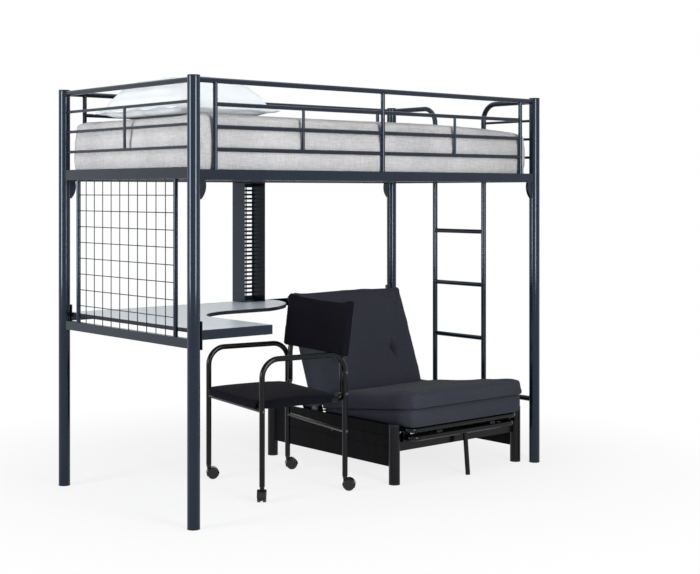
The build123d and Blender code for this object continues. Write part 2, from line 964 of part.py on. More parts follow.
# Seat board between the back tubes; the pad covers board and tubes from above
seat_board_low = back_tube_z - chair_tube_d / 2
seat_pad_low = seat_board_low + soft_gap
pocket_front_x = back_tube_front_x - seat_pocket_gap
pocket_half_w = back_tube_y + chair_tube_d / 2 + seat_pocket_gap

with BuildPart() as chair_seat_board:
    with BuildSketch(chair_level((seat_board_front_x + seat_board_back_x) / 2, seat_board_low)):
        RectangleRounded(
            seat_board_back_x - seat_board_front_x, 2 * seat_board_half_w, seat_board_corner
        )
    extrude(amount=seat_board_t)
save(chair_seat_board, "chair_seat_board")

with BuildPart() as chair_seat_pad:
    cushion(
        chair_level((seat_pad_front_x + seat_pad_back_x) / 2, seat_pad_low),
        seat_pad_back_x - seat_pad_front_x,
        2 * seat_pad_half_w,
        seat_pad_edge,
        seat_pad_crown,
        seat_pad_bulge,
        seat_pad_corner,
    )
    with BuildSketch(chair_level((pocket_front_x + arm_half_depth) / 2, seat_board_low)) as pocket:
        Rectangle(arm_half_depth - pocket_front_x, 2 * pocket_half_w)
    extrude(pocket.sketch, amount=seat_board_t + soft_gap, mode=Mode.SUBTRACT)
    for side in (-1, 1):
        rod(
            chair_at(pocket_front_x, side * back_tube_y, back_tube_z),
            chair_at(arm_half_depth, side * back_tube_y, back_tube_z),
            chair_tube_d + 2 * seat_pocket_gap,
            mode=Mode.SUBTRACT,
        )
save(chair_seat_pad, "chair_seat_pad")

# Curved backrest pulled over the leaning tubes, with an ear at each top corner
lean_up = chair_floor.x_dir * sin(lean) + Vector(0, 0, cos(lean))
rest_root_x = lean_x + (rest_low_z - lean_start_z) * tan(lean)
rest_plane = Plane(origin=chair_at(rest_root_x, 0, rest_low_z), x_dir=chair_floor.y_dir, z_dir=lean_up)
rest_mid = -rest_t / 2 - back_tube_y * back_tube_y / (2 * rest_curve)
rest_reach = rest_half_w + corner_ease
rest_end = rest_mid + rest_reach * rest_reach / (2 * rest_curve)

with BuildPart() as chair_backrest:
    with BuildSketch(rest_plane.offset(-corner_ease)):
        with BuildLine():
            ThreePointArc((-rest_reach, rest_end), (0, rest_mid), (rest_reach, rest_end))
            Line((rest_reach, rest_end), (rest_reach, rest_end + rest_t))
            ThreePointArc(
                (rest_reach, rest_end + rest_t), (0, rest_mid + rest_t), (-rest_reach, rest_end + rest_t)
            )
            Line((-rest_reach, rest_end + rest_t), (-rest_reach, rest_end))
        make_face()
    extrude(amount=rest_height + 2 * corner_ease)
    rest_face = Plane(origin=rest_plane.origin, x_dir=chair_floor.y_dir, z_dir=-rest_plane.y_dir)
    ear_x = rest_half_w - rest_ear_w
    ear_low = rest_height - rest_ear_drop
    with BuildSketch(rest_face) as rest_outline:
        with BuildLine():
            Line((-rest_half_w, 0), (rest_half_w, 0))
            for side in (-1, 1):
                Line((side * rest_half_w, 0), (side * rest_half_w, rest_height))
                ThreePointArc(
                    (side * rest_half_w, rest_height),
                    (side * (rest_half_w + ear_x) / 2, (rest_height + ear_low) / 2 - rest_ear_sag),
                    (side * ear_x, ear_low),
                )
            ThreePointArc((-ear_x, ear_low), (0, ear_low - rest_sag), (ear_x, ear_low))
        make_face()
        for side in (0, -1):
            fillet(rest_outline.vertices().group_by(Axis.X)[side], rest_corner)
    extrude(rest_outline.sketch, amount=rest_half_w, both=True, mode=Mode.INTERSECT)
    for side in (-1, 1):
        rod(
            chair_at(lean_x, side * back_tube_y, lean_start_z),
            chair_at(lean_top_x, side * back_tube_y, back_tube_top_z + soft_gap),
            chair_tube_d + 2 * soft_gap,
            mode=Mode.SUBTRACT,
        )
save(chair_backrest, "chair_backrest")

# Casters: sockets in the legs, swivelling hoods and twin wheels
stem_points = [(sx * arm_half_depth, sy * arm_half_width) for sx in (-1, 1) for sy in (-1, 1)]
stem_bore_d = stem_d + 2 * running_clearance
axle_bore_d = axle_d + 2 * running_clearance

with BuildPart() as caster_sockets:
    socket_d = chair_tube_d - 2 * chair_tube_wall - 2 * plug_clearance
    for x, y in stem_points:
        tube(
            chair_at(x, y, leg_end_z),
            chair_at(x, y, leg_end_z + socket_h),
            socket_d,
            (socket_d - stem_bore_d) / 2,
        )
save(caster_sockets, "caster_sockets")


def caster_plane(place):
    x, y = stem_points[place]
    swing = radians(chair_turn + caster_turns[place])
    return Plane(origin=chair_at(x, y, 0), x_dir=(cos(swing), sin(swing), 0), z_dir=(0, 0, 1))


def caster_hood(place):
    base = caster_plane(place)
    axle_z = wheel_d / 2
    side = Plane(origin=base.origin, x_dir=base.x_dir, z_dir=-base.y_dir)
    with BuildSketch(side) as web:
        with Locations((caster_trail, axle_z)):
            Circle(hood_outer_r - hood_gap)
        with Locations((caster_trail / 2 - stem_d / 4, axle_z + hood_outer_r / 2)):
            Rectangle(caster_trail + stem_d, hood_outer_r)
        with Locations((caster_trail, axle_z - hood_outer_r)):
            Rectangle(2 * hood_outer_r, hood_outer_r, mode=Mode.SUBTRACT)
    extrude(web.sketch, amount=hood_plate_t / 2, both=True)
    with BuildSketch(side) as shell:
        with Locations((caster_trail, axle_z)):
            Circle(hood_outer_r)
            Circle(hood_inner_r, mode=Mode.SUBTRACT)
        with Locations((caster_trail, axle_z - hood_outer_r)):
            Rectangle(2 * hood_outer_r, 2 * hood_outer_r, mode=Mode.SUBTRACT)
    extrude(shell.sketch, amount=hood_half_w, both=True)
    foot = tuple(base.from_local_coords(Vector(0, 0, boss_low_z)))
    neck = tuple(base.from_local_coords(Vector(0, 0, boss_top_z)))
    tip = tuple(base.from_local_coords(Vector(0, 0, stem_top_z)))
    rod(foot, neck, boss_d)
    rod(neck, tip, stem_d)
    rod(
        tuple(base.from_local_coords(Vector(caster_trail, -hood_half_w, axle_z))),
        tuple(base.from_local_coords(Vector(caster_trail, hood_half_w, axle_z))),
        axle_bore_d,
        mode=Mode.SUBTRACT,
    )


def caster_wheels(place):
    base = caster_plane(place)
    axle_z = wheel_d / 2
    side = Plane(
        origin=base.from_local_coords(Vector(caster_trail, 0, axle_z)), x_dir=base.x_dir, z_dir=-base.y_dir
    )
    inner = hood_plate_t / 2 + hood_gap
    for face in (-1, 1):
        with BuildSketch(side.offset(face * inner)) as disc:
            Circle(wheel_d / 2)
        extrude(disc.sketch, amount=face * wheel_w)
    with BuildSketch(side) as axle:
        Circle(axle_d / 2)
    extrude(axle.sketch, amount=inner + wheel_w / 2, both=True)


for place in range(len(stem_points)):
    with BuildPart() as hood:
        caster_hood(place)
    save(hood, "caster_hood_" + str(place + 1))
    with BuildPart() as wheels:
        caster_wheels(place)
        fillet(wheels.edges().filter_by(GeomType.CIRCLE).group_by(SortBy.RADIUS)[-1], wheel_edge)
    save(wheels, "caster_wheels_" + str(place + 1))

# Fold-out seat: legs, end caps, side panels and cross rails
futon_legs_xy = [
    (futon_x + sx * futon_leg_x, y) for sx in (-1, 1) for y in (futon_leg_front_y, futon_leg_back_y)
]


def cut_futon_legs():
    for x, y in futon_legs_xy:
        rod((x, y, 0), (x, y, futon_leg_top), post_d + 2 * weld_gap, mode=Mode.SUBTRACT)


with BuildPart() as futon_legs:
    for x, y in futon_legs_xy:
        tube((x, y, foot_lip), (x, y, futon_leg_top - cap_lip), post_d, post_wall)
save(futon_legs, "futon_legs")

with BuildPart() as futon_leg_ends:
    for x, y in futon_legs_xy:
        rod((x, y, 0), (x, y, foot_lip), post_d)
        rod((x, y, foot_lip), (x, y, foot_lip + plug_length), plug_d)
        rod((x, y, futon_leg_top - cap_lip), (x, y, futon_leg_top), post_d)
        rod((x, y, futon_leg_top - cap_lip - plug_length), (x, y, futon_leg_top - cap_lip), plug_d)
save(futon_leg_ends, "futon_leg_ends")

with BuildPart() as futon_side_panels:
    panel_mid_y = (futon_leg_front_y + futon_leg_back_y) / 2
    panel_run = futon_leg_back_y - futon_leg_front_y
    for sx in (-1, 1):
        x = futon_x + sx * futon_leg_x
        bar(side_panel_t, panel_run, x, panel_mid_y, side_panel_low, side_panel_top)
        for z in (groove_low_z, groove_high_z):
            bar(
                groove_depth * 2,
                panel_run,
                x + sx * side_panel_t / 2,
                panel_mid_y,
                z - groove_w / 2,
                z + groove_w / 2,
                mode=Mode.SUBTRACT,
            )
    cut_futon_legs()
save(futon_side_panels, "futon_side_panels")

front_rail_top = front_rail_low + front_rail_h

with BuildPart() as futon_rails:
    leg_to_leg = futon_x - futon_leg_x, futon_x + futon_leg_x
    box_rail_x(
        futon_leg_front_y, *leg_to_leg, front_rail_low, front_rail_top, cross_rail_t, rail_wall
    )
    box_rail_x(
        futon_leg_back_y, *leg_to_leg, back_rail_low, back_rail_low + front_rail_h, cross_rail_t, rail_wall
    )
    box_rail_x(
        mid_rail_y,
        futon_x - panel_inner_x,
        futon_x + panel_inner_x,
        front_rail_low,
        front_rail_top,
        cross_rail_t,
        rail_wall,
    )
    for y in (futon_leg_front_y, mid_rail_y):
        for sx in (-1, 1):
            x = futon_x + sx * pullout_x
            bar(guide_w, cross_rail_t, x, y, front_rail_top + weld_gap, seat_deck_z - deck_d / 2 - weld_gap)
            rod(
                (x, y - cross_rail_t, pullout_z),
                (x, y + cross_rail_t, pullout_z),
                deck_d + 2 * slide_clearance,
                mode=Mode.SUBTRACT,
            )
    cut_futon_legs()
save(futon_rails, "futon_rails")


# Tube decks: a fixed one under the seat and one that pulls out with its prop
def deck_loop(half_x, z, rear_y):
    bent_tube(
        Plane.XY.offset(z),
        (
            (futon_x - half_x, rear_y),
            (futon_x - half_x, deck_front_y),
            (futon_x + half_x, deck_front_y),
            (futon_x + half_x, rear_y),
        ),
        deck_bend,
        deck_d,
        deck_wall,
    )


with BuildPart() as futon_seat_deck:
    deck_loop(seat_deck_x, seat_deck_z, deck_rear_y)
save(futon_seat_deck, "futon_seat_deck")

with BuildPart() as futon_deck_slats:
    slat_reach = seat_deck_x - deck_d / 2 - weld_gap
    for step in range(deck_slat_count):
        y = (deck_front_y + deck_rear_y) / 2 + (step - (deck_slat_count - 1) / 2) * deck_slat_pitch
        bar(
            2 * slat_reach,
            deck_slat_w,
            futon_x,
            y,
            seat_deck_z - deck_slat_t / 2,
            seat_deck_z + deck_slat_t / 2,
        )
    for sx in (-1, 1):
        bar(
            stop_w,
            stop_depth,
            futon_x + sx * stop_x,
            deck_front_y,
            pullout_z + deck_d / 2 + slide_clearance,
            seat_deck_z - deck_d / 2 - weld_gap,
        )
        bracket_low_x = seat_deck_x + deck_d / 2 + weld_gap
        for y in (bracket_front_y, bracket_rear_y):
            bar(
                panel_inner_x - bracket_low_x,
                bracket_w,
                futon_x + sx * (panel_inner_x + bracket_low_x) / 2,
                y,
                seat_deck_z - bracket_t / 2,
                seat_deck_z + bracket_t / 2,
            )
save(futon_deck_slats, "futon_deck_slats")

with BuildPart() as futon_pullout_deck:
    rod((futon_x, prop_foot_y, 0), (futon_x, prop_top_y, pullout_z), prop_d)
    bar(post_d, post_d, futon_x, prop_foot_y, -post_d, 0, mode=Mode.SUBTRACT)
    rod(
        (futon_x - prop_d, deck_front_y, pullout_z),
        (futon_x + prop_d, deck_front_y, pullout_z),
        deck_d + 2 * weld_gap,
        mode=Mode.SUBTRACT,
    )
    deck_loop(pullout_x, pullout_z, deck_rear_y)
save(futon_pullout_deck, "futon_pullout_deck")

# Hinge pins on the side panels and the screws that show outside
with BuildPart() as futon_hardware:
    for sx in (-1, 1):
        face_x = futon_x + sx * panel_inner_x
        rod((futon_x + sx * pin_inner_x, hinge_y, hinge_z), (face_x, hinge_y, hinge_z), pin_d)
        rod((face_x - sx * pin_flange_t, hinge_y, hinge_z), (face_x, hinge_y, hinge_z), pin_flange_d)
        outer_x = futon_x + sx * (futon_leg_x + side_panel_t / 2 + weld_gap)
        rod(
            (outer_x, panel_screw_y, (groove_low_z + groove_high_z) / 2),
            (outer_x + sx * panel_screw_h, panel_screw_y, (groove_low_z + groove_high_z) / 2),
            panel_screw_d,
        )
save(futon_hardware, "futon_hardware")

# Reclining back: tube frame on hinge plates and its pad
back_tilt = radians(back_angle)
back_up = Vector(0, cos(back_tilt), sin(back_tilt))
back_front = Vector(0, -sin(back_tilt), cos(back_tilt))
hinge_point = Vector(futon_x, hinge_y, hinge_z)
back_frame_plane = Plane(
    origin=hinge_point - back_front * back_frame_set, x_dir=(1, 0, 0), z_dir=back_front
)


def back_point(x, up):
    return tuple(back_frame_plane.from_local_coords(Vector(x, up, 0)))


with BuildPart() as futon_back_frame:
    bent_tube(
        back_frame_plane,
        (
            (-back_frame_x, back_frame_low),
            (-back_frame_x, back_frame_top),
            (back_frame_x, back_frame_top),
            (back_frame_x, back_frame_low),
        ),
        deck_bend,
        deck_d,
        deck_wall,
    )
    cross_end = hinge_plate_x - weld_gap
    rod(
        back_point(-cross_end, back_frame_low),
        back_point(cross_end, back_frame_low),
        deck_d + 2 * weld_gap,
        mode=Mode.SUBTRACT,
    )
    tube(back_point(-cross_end, back_frame_low), back_point(cross_end, back_frame_low), deck_d, deck_wall)
    back_slat_reach = back_frame_x - deck_d / 2 - weld_gap
    back_slat_mid = (back_frame_low + back_frame_top) / 2
    for step in range(back_slat_count):
        up = back_slat_mid + (step - (back_slat_count - 1) / 2) * back_slat_pitch
        slat_plane = back_frame_plane.offset(-deck_slat_t / 2)
        with BuildSketch(slat_plane) as back_slat:
            with Locations((0, up)):
                Rectangle(2 * back_slat_reach, deck_slat_w)
        extrude(back_slat.sketch, amount=deck_slat_t)
    for sx in (-1, 1):
        plate_plane = Plane(
            origin=(futon_x + sx * hinge_plate_x, hinge_y, hinge_z), x_dir=(0, 1, 0), z_dir=(1, 0, 0)
        )
        arm = back_front * -back_frame_set + back_up * back_frame_low
        with BuildSketch(plate_plane) as hinge_plate:
            with Locations((0, 0), (arm.Y, arm.Z)):
                Circle(hinge_plate_r)
            make_hull()
            Circle(pin_d / 2 + running_clearance, mode=Mode.SUBTRACT)
        extrude(hinge_plate.sketch, amount=sx * hinge_plate_t)
save(futon_back_frame, "futon_back_frame")

with BuildPart() as futon_back_pad:
    back_pad_mid = (back_pad_low + back_pad_top) / 2
    back_pad_base = back_frame_plane.offset(deck_d / 2 + soft_gap)
    cushion(
        Plane(
            origin=back_pad_base.from_local_coords(Vector(0, back_pad_mid, 0)),
            x_dir=(1, 0, 0),
            z_dir=back_front,
        ),
        pad_width,
        back_pad_top - back_pad_low,
        back_pad_edge,
        back_pad_crown,
        pad_bulge,
        pad_corner,
    )
    dimple_rise = back_pad_edge + back_pad_crown - tuft_depth + tuft_r
    for sx in (-1, 1):
        with Locations(back_pad_base.from_local_coords(Vector(sx * tuft_x, tuft_up, dimple_rise))):
            Sphere(tuft_r, mode=Mode.SUBTRACT)
save(futon_back_pad, "futon_back_pad")

# Seat pad: lower layer tapering to the back, upper layer folded over it
tilt = radians(seat_tilt)
fold_up = Vector(0, sin(tilt), cos(tilt))
fold_back = Vector(0, cos(tilt), -sin(tilt))
fold_edge = Vector(futon_x, pad_front_y, fold_z)
seat_low = seat_deck_z + deck_d / 2 + soft_gap

with BuildPart() as futon_seat_pad:
    lower_front = pad_front_y + soft_gap
    front_top = fold_z - seat_pad_low_gap
    rear_top = front_top - (seat_pad_rear_y - pad_front_y) * tan(tilt)
    with BuildSketch(Plane(origin=(futon_x, 0, 0), x_dir=(0, 1, 0), z_dir=(1, 0, 0))):
        with BuildLine():
            Line((lower_front + pad_bulge, seat_low), (seat_pad_rear_y, seat_low))
            Line((seat_pad_rear_y, seat_low), (seat_pad_rear_y, rear_top))
            Line((seat_pad_rear_y, rear_top), (lower_front + pad_bulge, front_top - pad_bulge * tan(tilt)))
            ThreePointArc(
                (lower_front + pad_bulge, front_top - pad_bulge * tan(tilt)),
                (lower_front, (seat_low + front_top) / 2),
                (lower_front + pad_bulge, seat_low),
            )
        make_face()
    extrude(amount=pad_width / 2, both=True)
    with BuildSketch(Plane.XY.offset(seat_low)):
        with Locations((futon_x, (pad_front_y + seat_pad_rear_y) / 2)):
            RectangleRounded(pad_width, seat_pad_rear_y - pad_front_y, pad_corner)
    extrude(amount=fold_z, mode=Mode.INTERSECT)
save(futon_seat_pad, "futon_seat_pad")

with BuildPart() as futon_foldout_pad:
    cushion(
        Plane(
            origin=fold_edge + fold_back * (fold_pad_length / 2) + fold_up * soft_gap,
            x_dir=(1, 0, 0),
            z_dir=fold_up,
        ),
        pad_width,
        fold_pad_length,
        fold_pad_edge,
        fold_pad_crown,
        pad_bulge,
        pad_corner,
    )
save(futon_foldout_pad, "futon_foldout_pad")
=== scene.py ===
import json
import math

import bmesh
import bpy
import numpy as np
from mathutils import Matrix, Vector


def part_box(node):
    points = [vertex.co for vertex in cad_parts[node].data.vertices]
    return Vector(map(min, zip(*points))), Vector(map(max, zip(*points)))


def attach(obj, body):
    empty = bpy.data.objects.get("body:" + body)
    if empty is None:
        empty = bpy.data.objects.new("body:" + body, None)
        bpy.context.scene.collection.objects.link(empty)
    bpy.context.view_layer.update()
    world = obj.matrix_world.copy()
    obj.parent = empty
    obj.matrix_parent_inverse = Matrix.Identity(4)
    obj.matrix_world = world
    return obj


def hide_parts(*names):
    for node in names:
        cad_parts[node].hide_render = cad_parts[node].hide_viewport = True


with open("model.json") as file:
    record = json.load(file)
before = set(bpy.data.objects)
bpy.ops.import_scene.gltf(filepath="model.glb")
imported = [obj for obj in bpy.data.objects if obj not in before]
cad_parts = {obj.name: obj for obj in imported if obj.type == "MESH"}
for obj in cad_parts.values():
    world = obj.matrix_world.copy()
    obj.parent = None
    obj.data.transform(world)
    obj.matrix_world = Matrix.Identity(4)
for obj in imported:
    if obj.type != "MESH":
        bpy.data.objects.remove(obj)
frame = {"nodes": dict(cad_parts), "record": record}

scene = bpy.context.scene
nodes = frame["nodes"]
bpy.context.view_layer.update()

# Lengths are in metres. Most values of a noise texture lie between these two
noise_low, noise_high = 0.3, 0.7


def set_sockets(node, values):
    for socket, value in values.items():
        node.inputs[socket].default_value = value


# Materials
class Paint:
    """A node material in the object's own coordinates, in metres."""

    def __init__(self, name, sockets):
        self.material = bpy.data.materials.new(name)
        self.material.use_nodes = True
        self.tree = self.material.node_tree
        self.bsdf = self.tree.nodes["Principled BSDF"]
        set_sockets(self.bsdf, sockets)
        self.place = self.add("ShaderNodeTexCoord").outputs["Object"]

    def add(self, kind, **settings):
        node = self.tree.nodes.new(kind)
        for key, value in settings.items():
            setattr(node, key, value)
        return node

    def link(self, source, target):
        self.tree.links.new(source, target)

    def texture(self, node, sockets, mapping):
        """Lays a texture over the object's coordinates, stretched or turned by the mapping."""
        mapper = self.add("ShaderNodeMapping")
        set_sockets(mapper, mapping)
        set_sockets(node, sockets)
        self.link(self.place, mapper.inputs["Vector"])
        self.link(mapper.outputs["Vector"], node.inputs["Vector"])
        return node.outputs["Fac"]

    def noise(self, scale, detail, stretch=(1, 1, 1)):
        node = self.add("ShaderNodeTexNoise")
        return self.texture(node, {"Scale": scale, "Detail": detail}, {"Scale": stretch})

    def bands(self, pitch, turn=(0, 0, 0)):
        """Slanting bands about one pitch apart."""
        node = self.add("ShaderNodeTexWave", bands_direction="DIAGONAL")
        return self.texture(node, {"Scale": math.pi / (10 * pitch)}, {"Rotation": turn})

    def math(self, operation, first, second):
        node = self.add("ShaderNodeMath", operation=operation)
        for socket, value in zip(node.inputs, (first, second)):
            if isinstance(value, (int, float)):
                socket.default_value = value
            else:
                self.link(value, socket)
        return node.outputs["Value"]

    def colours(self, value, first, second, start=noise_low, stop=noise_high):
        node = self.add("ShaderNodeValToRGB")
        for element, position, colour in zip(node.color_ramp.elements, (start, stop), (first, second)):
            element.position = position
            element.color = (*colour, 1)
        self.link(value, node.inputs["Fac"])
        self.link(node.outputs["Color"], self.bsdf.inputs["Base Color"])

    def rough(self, value, middle, swing):
        node = self.add("ShaderNodeMapRange")
        set_sockets(node, {"From Min": noise_low, "From Max": noise_high})
        set_sockets(node, {"To Min": middle - swing, "To Max": middle + swing})
        self.link(value, node.inputs["Value"])
        self.link(node.outputs["Result"], self.bsdf.inputs["Roughness"])

    def bump(self, height, strength, distance):
        node = self.add("ShaderNodeBump")
        set_sockets(node, {"Strength": strength, "Distance": distance})
        self.link(height, node.inputs["Height"])
        self.link(node.outputs["Normal"], self.bsdf.inputs["Normal"])


def coated(name, first, second, roughness, level, tint):
    """Gloss paint on steel, with the thin clouds and uneven shine of a sprayed film."""
    paint = Paint(name, {"Specular IOR Level": level, "Specular Tint": (*tint, 1)})
    paint.colours(paint.noise(scale=7.0, detail=3.0), first, second)
    paint.rough(paint.noise(scale=6.0, detail=1.0), roughness, swing=0.012)
    return paint.material


def moulded(name, first, second, roughness, level):
    """Plastic with a fine grain."""
    paint = Paint(name, {"Specular IOR Level": level})
    paint.colours(paint.noise(scale=30.0, detail=3.0), first, second)
    paint.rough(paint.noise(scale=140.0, detail=3.0), roughness, swing=0.08)
    paint.bump(paint.noise(scale=900.0, detail=2.0), strength=0.1, distance=0.0004)
    return paint.material


def steel(name):
    """Dark bolt steel with a turned grain."""
    paint = Paint(name, {"Metallic": 1.0, "Anisotropic": 0.3})
    grain = paint.noise(scale=250.0, detail=3.0, stretch=(1, 1, 6))
    paint.colours(grain, (0.05, 0.053, 0.06), (0.10, 0.104, 0.115))
    paint.rough(grain, 0.335, swing=0.085)
    paint.bump(grain, strength=0.1, distance=0.0003)
    return paint.material


def laminate(name, first, second, roughness, level):
    """A smooth pressed sheet with faint streaks along X."""
    paint = Paint(name, {"Specular IOR Level": level})
    paint.colours(paint.noise(scale=9.0, detail=5.0, stretch=(1, 3, 1)), first, second)
    paint.rough(paint.noise(scale=6.0, detail=1.0), roughness, swing=0.015)
    return paint.material


def timber(name):
    """Slats stained nearly black, with the grain still showing."""
    paint = Paint(name, {"Specular IOR Level": 0.2})
    grain = paint.noise(scale=22.0, detail=5.0, stretch=(5, 0.35, 5))
    paint.colours(grain, (0.035, 0.031, 0.029), (0.075, 0.068, 0.064))
    paint.rough(grain, 0.6, swing=0.1)
    paint.bump(grain, strength=0.25, distance=0.0008)
    return paint.material


def cloth(name, first, second, pitch, sheen, slub, lift):
    """Threads run along X, Y and Z, so each face of a cushion shows a crossed weave."""
    dull = {"Specular IOR Level": 0.03, "Roughness": 0.9}
    paint = Paint(name, {**dull, "Sheen Weight": sheen, "Sheen Roughness": 0.5})
    drawn, thread_share, thread_lift = 0.06, 0.8, 2.0
    along_x, along_y, along_z = (
        paint.noise(slub, detail=3.0, stretch=stretch)
        for stretch in ((drawn, 1, 1), (1, drawn, 1), (1, 1, drawn))
    )
    total = paint.math("ADD", paint.math("ADD", along_x, along_y), along_z)
    threads = paint.math("MULTIPLY", total, 1 / 3)
    patches = paint.noise(scale=5.0, detail=3.0)
    tone = paint.math(
        "ADD",
        paint.math("MULTIPLY", threads, thread_share),
        paint.math("MULTIPLY", patches, 1 - thread_share),
    )
    paint.colours(tone, first, second, start=0.4, stop=0.6)
    weave = paint.math("MAXIMUM", paint.bands(pitch), paint.bands(pitch, (0, 0, math.radians(90))))
    height = paint.math("ADD", weave, paint.math("MULTIPLY", threads, thread_lift))
    paint.bump(height, lift, distance=0.0012)
    return paint.material


blue_gloss = (0.68, 0.82, 1.0)
grey_gloss = (0.95, 0.97, 1.0)
finishes = {
    "frame_paint": coated(
        "frame_paint", (0.004, 0.007, 0.014), (0.006, 0.010, 0.019),
        roughness=0.11, level=0.4, tint=blue_gloss,
    ),
    "cap_plastic": moulded(
        "cap_plastic", (0.006, 0.008, 0.011), (0.010, 0.012, 0.016), roughness=0.42, level=0.2
    ),
    "slat_wood": timber("slat_wood"),
    "mattress_cloth": cloth(
        "mattress_cloth", (0.405, 0.40, 0.408), (0.64, 0.635, 0.645),
        pitch=0.0024, sheen=0.03, slub=330.0, lift=0.4,
    ),
    "pillow_cloth": cloth(
        "pillow_cloth", (0.86, 0.91, 0.945), (0.91, 0.95, 0.975),
        pitch=0.0016, sheen=0.03, slub=400.0, lift=0.2,
    ),
    "desk_laminate": laminate(
        "desk_laminate", (0.78, 0.90, 0.97), (0.82, 0.93, 0.99), roughness=0.32, level=0.45
    ),
    "desk_band": moulded(
        "desk_band", (0.012, 0.016, 0.024), (0.018, 0.022, 0.032), roughness=0.4, level=0.2
    ),
    "bolt_steel": steel("bolt_steel"),
    "chair_paint": coated(
        "chair_paint", (0.0010, 0.0010, 0.0014), (0.002, 0.002, 0.0026),
        roughness=0.16, level=0.25, tint=grey_gloss,
    ),
    "seat_board": laminate(
        "seat_board", (0.004, 0.004, 0.005), (0.008, 0.008, 0.009), roughness=0.5, level=0.08
    ),
    "chair_cloth": cloth(
        "chair_cloth", (0.0045, 0.0045, 0.0075), (0.0085, 0.0085, 0.0135),
        pitch=0.0022, sheen=0.02, slub=300.0, lift=0.3,
    ),
    "caster_plastic": moulded(
        "caster_plastic", (0.0035, 0.0035, 0.005), (0.007, 0.007, 0.009), roughness=0.27, level=0.35
    ),
    "futon_paint": coated(
        "futon_paint", (0.0012, 0.0012, 0.0018), (0.0025, 0.0025, 0.0032),
        roughness=0.2, level=0.22, tint=grey_gloss,
    ),
    "futon_board": laminate(
        "futon_board", (0.0025, 0.0025, 0.0032), (0.005, 0.005, 0.0062), roughness=0.5, level=0.05
    ),
    "futon_cloth": cloth(
        "futon_cloth", (0.034, 0.036, 0.050), (0.043, 0.045, 0.061),
        pitch=0.0022, sheen=0.06, slub=280.0, lift=0.3,
    ),
}

for part in frame["record"]["subparts"]:
    mesh = nodes[part["node"]].data
    mesh.materials.clear()
    mesh.materials.append(finishes[part["material_slot"]])

# The flat sheets of the disc tower have a duller coat than the tubes
sheet_paint = coated(
    "sheet_paint", (0.004, 0.007, 0.014), (0.007, 0.011, 0.020),
    roughness=0.36, level=0.36, tint=blue_gloss,
)
for node in ("tower_plates", "tower_sides", "tower_back"):
    nodes[node].data.materials[0] = sheet_paint


# Soft pieces
def points(piece):
    """The mesh's points, one row each."""
    co = np.empty(len(piece.data.vertices) * 3)
    piece.data.vertices.foreach_get("co", co)
    return co.reshape(-1, 3)


def put_points(piece, co):
    piece.data.vertices.foreach_set("co", np.ascontiguousarray(co, dtype=np.float32).ravel())
    piece.data.update()


def normals(piece):
    found = np.empty(len(piece.data.vertices) * 3)
    piece.data.vertices.foreach_get("normal", found)
    return found.reshape(-1, 3)


def edges_of(piece):
    pairs = np.empty(len(piece.data.edges) * 2, dtype=np.int64)
    piece.data.edges.foreach_get("vertices", pairs)
    return pairs.reshape(-1, 2)


def link_piece(name, mesh):
    piece = bpy.data.objects.new(name, mesh)
    scene.collection.objects.link(piece)
    return piece


def settle(piece):
    """Applies the piece's modifiers to its mesh."""
    bpy.context.view_layer.update()
    depsgraph = bpy.context.evaluated_depsgraph_get()
    mesh = bpy.data.meshes.new_from_object(piece.evaluated_get(depsgraph))
    piece.modifiers.clear()
    piece.data = mesh


def remeshed_copy(name, node, voxel):
    """A copy of a CAD solid with an even mesh, ready to be shaped."""
    weld_distance = 0.00002
    mesh = nodes[node].data.copy()
    welder = bmesh.new()
    welder.from_mesh(mesh)
    bmesh.ops.remove_doubles(welder, verts=welder.verts, dist=weld_distance)
    welder.to_mesh(mesh)
    welder.free()
    piece = link_piece(name, mesh)
    remesh = piece.modifiers.new("voxels", "REMESH")
    remesh.mode = "VOXEL"
    remesh.voxel_size = voxel
    settle(piece)
    return piece


def relax(piece, rounds, keep=None):
    """Evens out the mesh, which rounds its edges; points in keep stay."""
    co = points(piece)
    pairs = edges_of(piece)
    count = np.bincount(pairs.ravel(), minlength=len(co))[:, None]
    free = np.ones((len(co), 1)) if keep is None else 1.0 - keep.astype(float)[:, None]
    step = 0.5
    for _ in range(rounds):
        total = np.zeros_like(co)
        np.add.at(total, pairs[:, 0], co[pairs[:, 1]])
        np.add.at(total, pairs[:, 1], co[pairs[:, 0]])
        co += step * free * (total / count - co)
    put_points(piece, co)


def inflate(piece, pressure, cap, held, stiffness=12.0):
    """Swells the piece as cloth under pressure; held points stay and none moves past the cap."""
    last_frame = 20
    start = points(piece)
    pins = piece.vertex_groups.new(name="held")
    pins.add([int(i) for i in np.flatnonzero(held)], 1.0, "REPLACE")
    modifier = piece.modifiers.new("cloth", "CLOTH")
    settings = modifier.settings
    settings.quality = 4
    settings.mass = 0.3
    settings.tension_stiffness = stiffness
    settings.compression_stiffness = stiffness
    settings.shear_stiffness = stiffness / 2
    settings.bending_stiffness = 1.5
    settings.use_pressure = True
    settings.uniform_pressure_force = pressure
    settings.vertex_group_mass = "held"
    settings.effector_weights.gravity = 0.0
    modifier.collision_settings.use_collision = False
    modifier.point_cache.frame_start = 1
    modifier.point_cache.frame_end = last_frame
    for number in range(1, last_frame + 1):
        scene.frame_set(number)
    settle(piece)
    scene.frame_set(1)
    piece.vertex_groups.clear()
    move = points(piece) - start
    nearly_none = 1e-9
    reach = np.maximum(np.linalg.norm(move, axis=1, keepdims=True), nearly_none)
    put_points(piece, start + move * np.minimum(1.0, cap / reach))


def finish_soft(piece, body, slot, fill, *replaced):
    """Gives a soft piece its cloth and body, and hands it over in place of its CAD solid."""
    piece.data.materials.clear()
    piece.data.materials.append(finishes[slot])
    piece.data.polygons.foreach_set("use_smooth", [True] * len(piece.data.polygons))
    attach(piece, body)
    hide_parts(*replaced)


